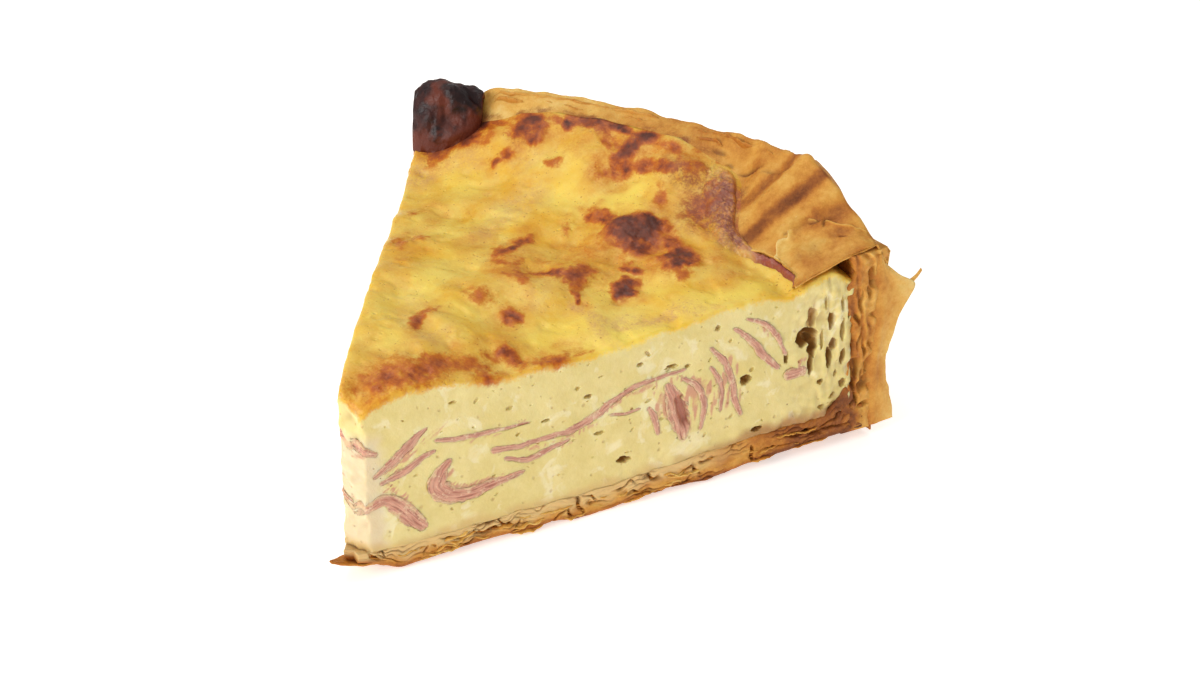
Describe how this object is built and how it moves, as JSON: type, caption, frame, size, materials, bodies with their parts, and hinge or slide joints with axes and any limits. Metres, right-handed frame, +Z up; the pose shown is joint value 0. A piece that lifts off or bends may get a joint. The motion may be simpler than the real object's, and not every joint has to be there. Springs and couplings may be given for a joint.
{
  "type": "ham and cheese quiche slice",
  "caption": "Cut wedge of deep quiche: flaky filo crust, set egg and cheese filling with ham strips at the cuts, browned top and a scorched lump on the rim.",
  "frame": {"origin": "On the table, under the middle of the slice's bounding box", "axes": "+Z up; +X runs along the middle of the wedge from its blunt nose to the crust; the cut face that the picture shows is on the -Y side"},
  "size_m": [0.1218, 0.1204, 0.0557],
  "materials": {
    "crust": "baked filo pastry, dry, golden tan with browner layers at the cuts",
    "filling": "set egg and cheese custard, moist pale yellow at the cuts, browned and slightly oily on top",
    "ham": "cooked ham, moist, pink",
    "scorched": "scorched ham and cheese, dark red-brown, slightly glossy"
  },
  "bodies": {
    "root": {"crust": "crust", "filling": "filling", "ham_nose": "ham", "ham_feather_upper": "ham", "ham_feather_lower": "ham", "ham_thin_ribbon": "ham", "ham_bar": "ham", "ham_hook": "ham", "ham_long_ribbon": "ham", "ham_lower_branch": "ham", "ham_thin_branch": "ham", "ham_fold_left": "ham", "ham_fold": "ham", "ham_fold_outer": "ham", "ham_cross_long": "ham", "ham_cross_short": "ham", "ham_slant_inner": "ham", "ham_slant_outer": "ham", "ham_dice": "ham", "ham_edge": "ham", "scorched_lump": "scorched"}
  },
  "joints": []
}
